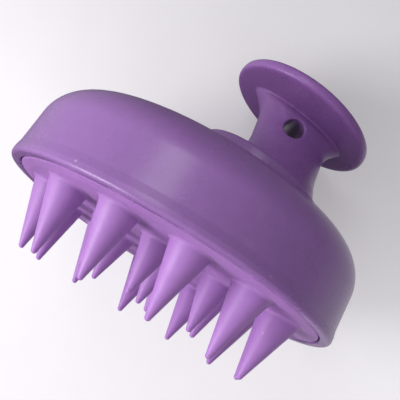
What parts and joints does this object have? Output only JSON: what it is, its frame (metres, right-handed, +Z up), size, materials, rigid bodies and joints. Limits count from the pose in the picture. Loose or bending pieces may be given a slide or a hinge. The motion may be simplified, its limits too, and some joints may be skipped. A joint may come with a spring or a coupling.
{
  "type": "scalp massager brush",
  "caption": "Domed hand brush with an off-centre finger handle on top and a silicone pad of cone bristles underneath.",
  "frame": {"origin": "centre of the circle of outer bristle tips, on the surface that the brush stands on", "axes": "+Z up along the casing axis, +X towards the side that the handle stands and leans to"},
  "size_m": [0.086, 0.086, 0.0685],
  "materials": {
    "shell_plastic": "polished violet plastic",
    "handle_plastic": "polished violet plastic",
    "silicone": "satin silicone",
    "plate_plastic": "fine matte",
    "steel": "zinc plated"
  },
  "bodies": {
    "casing": {"shell": "shell_plastic", "handle": "handle_plastic", "handle_washer": "steel", "handle_screw": "steel", "backing_plate": "plate_plastic", "plate_screw_1": "steel", "plate_screw_2": "steel", "plate_screw_3": "steel"},
    "pad": {"pad": "silicone"},
    "outer_bristle_01": {"outer_bristle_01": "silicone"},
    "outer_bristle_02": {"outer_bristle_02": "silicone"},
    "outer_bristle_03": {"outer_bristle_03": "silicone"},
    "outer_bristle_04": {"outer_bristle_04": "silicone"},
    "outer_bristle_05": {"outer_bristle_05": "silicone"},
    "outer_bristle_06": {"outer_bristle_06": "silicone"},
    "outer_bristle_07": {"outer_bristle_07": "silicone"},
    "outer_bristle_08": {"outer_bristle_08": "silicone"},
    "outer_bristle_09": {"outer_bristle_09": "silicone"},
    "outer_bristle_10": {"outer_bristle_10": "silicone"},
    "outer_bristle_11": {"outer_bristle_11": "silicone"},
    "outer_bristle_12": {"outer_bristle_12": "silicone"},
    "inner_bristle_01": {"inner_bristle_01": "silicone"},
    "inner_bristle_02": {"inner_bristle_02": "silicone"},
    "inner_bristle_03": {"inner_bristle_03": "silicone"},
    "inner_bristle_04": {"inner_bristle_04": "silicone"},
    "inner_bristle_05": {"inner_bristle_05": "silicone"},
    "inner_bristle_06": {"inner_bristle_06": "silicone"},
    "centre_bristle": {"centre_bristle": "silicone"}
  },
  "joints": [
    {"name": "pad_pull", "type": "slide", "parent": "casing", "child": "pad", "axis": [0, 0, -1], "range_m": [0, 0.025]},
    {"name": "outer_bend_01", "type": "hinge", "parent": "pad", "child": "outer_bristle_01", "pos_m": [0.00338, -0.03112, 0.0157], "axis": [0.9942, 0.108, 0], "range_deg": [-12, 12], "stiffness_Nm_per_rad": 0.03},
    {"name": "outer_bend_02", "type": "hinge", "parent": "pad", "child": "outer_bristle_02", "pos_m": [0.01849, -0.02526, 0.0157], "axis": [0.807, 0.5906, 0], "range_deg": [-12, 12], "stiffness_Nm_per_rad": 0.03},
    {"name": "outer_bend_03", "type": "hinge", "parent": "pad", "child": "outer_bristle_03", "pos_m": [0.02864, -0.01263, 0.0157], "axis": [0.4035, 0.915, 0], "range_deg": [-12, 12], "stiffness_Nm_per_rad": 0.03},
    {"name": "outer_bend_04", "type": "hinge", "parent": "pad", "child": "outer_bristle_04", "pos_m": [0.03112, 0.00338, 0.0157], "axis": [-0.108, 0.9942, 0], "range_deg": [-12, 12], "stiffness_Nm_per_rad": 0.03},
    {"name": "outer_bend_05", "type": "hinge", "parent": "pad", "child": "outer_bristle_05", "pos_m": [0.02526, 0.01849, 0.0157], "axis": [-0.5906, 0.807, 0], "range_deg": [-12, 12], "stiffness_Nm_per_rad": 0.03},
    {"name": "outer_bend_06", "type": "hinge", "parent": "pad", "child": "outer_bristle_06", "pos_m": [0.01263, 0.02864, 0.0157], "axis": [-0.915, 0.4035, 0], "range_deg": [-12, 12], "stiffness_Nm_per_rad": 0.03},
    {"name": "outer_bend_07", "type": "hinge", "parent": "pad", "child": "outer_bristle_07", "pos_m": [-0.00338, 0.03112, 0.0157], "axis": [-0.9942, -0.108, 0], "range_deg": [-12, 12], "stiffness_Nm_per_rad": 0.03},
    {"name": "outer_bend_08", "type": "hinge", "parent": "pad", "child": "outer_bristle_08", "pos_m": [-0.01849, 0.02526, 0.0157], "axis": [-0.807, -0.5906, 0], "range_deg": [-12, 12], "stiffness_Nm_per_rad": 0.03},
    {"name": "outer_bend_09", "type": "hinge", "parent": "pad", "child": "outer_bristle_09", "pos_m": [-0.02864, 0.01263, 0.0157], "axis": [-0.4035, -0.915, 0], "range_deg": [-12, 12], "stiffness_Nm_per_rad": 0.03},
    {"name": "outer_bend_10", "type": "hinge", "parent": "pad", "child": "outer_bristle_10", "pos_m": [-0.03112, -0.00338, 0.0157], "axis": [0.108, -0.9942, 0], "range_deg": [-12, 12], "stiffness_Nm_per_rad": 0.03},
    {"name": "outer_bend_11", "type": "hinge", "parent": "pad", "child": "outer_bristle_11", "pos_m": [-0.02526, -0.01849, 0.0157], "axis": [0.5906, -0.807, 0], "range_deg": [-12, 12], "stiffness_Nm_per_rad": 0.03},
    {"name": "outer_bend_12", "type": "hinge", "parent": "pad", "child": "outer_bristle_12", "pos_m": [-0.01263, -0.02864, 0.0157], "axis": [0.915, -0.4035, 0], "range_deg": [-12, 12], "stiffness_Nm_per_rad": 0.03},
    {"name": "inner_bend_01", "type": "hinge", "parent": "pad", "child": "inner_bristle_01", "pos_m": [-0.00286, -0.01625, 0.0157], "axis": [0.9848, -0.1736, 0], "range_deg": [-12, 12], "stiffness_Nm_per_rad": 0.03},
    {"name": "inner_bend_02", "type": "hinge", "parent": "pad", "child": "inner_bristle_02", "pos_m": [0.01264, -0.01061, 0.0157], "axis": [0.6428, 0.766, 0], "range_deg": [-12, 12], "stiffness_Nm_per_rad": 0.03},
    {"name": "inner_bend_03", "type": "hinge", "parent": "pad", "child": "inner_bristle_03", "pos_m": [0.0155, 0.00564, 0.0157], "axis": [-0.342, 0.9397, 0], "range_deg": [-12, 12], "stiffness_Nm_per_rad": 0.03},
    {"name": "inner_bend_04", "type": "hinge", "parent": "pad", "child": "inner_bristle_04", "pos_m": [0.00286, 0.01625, 0.0157], "axis": [-0.9848, 0.1736, 0], "range_deg": [-12, 12], "stiffness_Nm_per_rad": 0.03},
    {"name": "inner_bend_05", "type": "hinge", "parent": "pad", "child": "inner_bristle_05", "pos_m": [-0.01264, 0.01061, 0.0157], "axis": [-0.6428, -0.766, 0], "range_deg": [-12, 12], "stiffness_Nm_per_rad": 0.03},
    {"name": "inner_bend_06", "type": "hinge", "parent": "pad", "child": "inner_bristle_06", "pos_m": [-0.0155, -0.00564, 0.0157], "axis": [0.342, -0.9397, 0], "range_deg": [-12, 12], "stiffness_Nm_per_rad": 0.03},
    {"name": "centre_bend", "type": "hinge", "parent": "pad", "child": "centre_bristle", "pos_m": [0, 0, 0.0157], "axis": [0, 1, 0], "range_deg": [-12, 12], "stiffness_Nm_per_rad": 0.03}
  ]
}
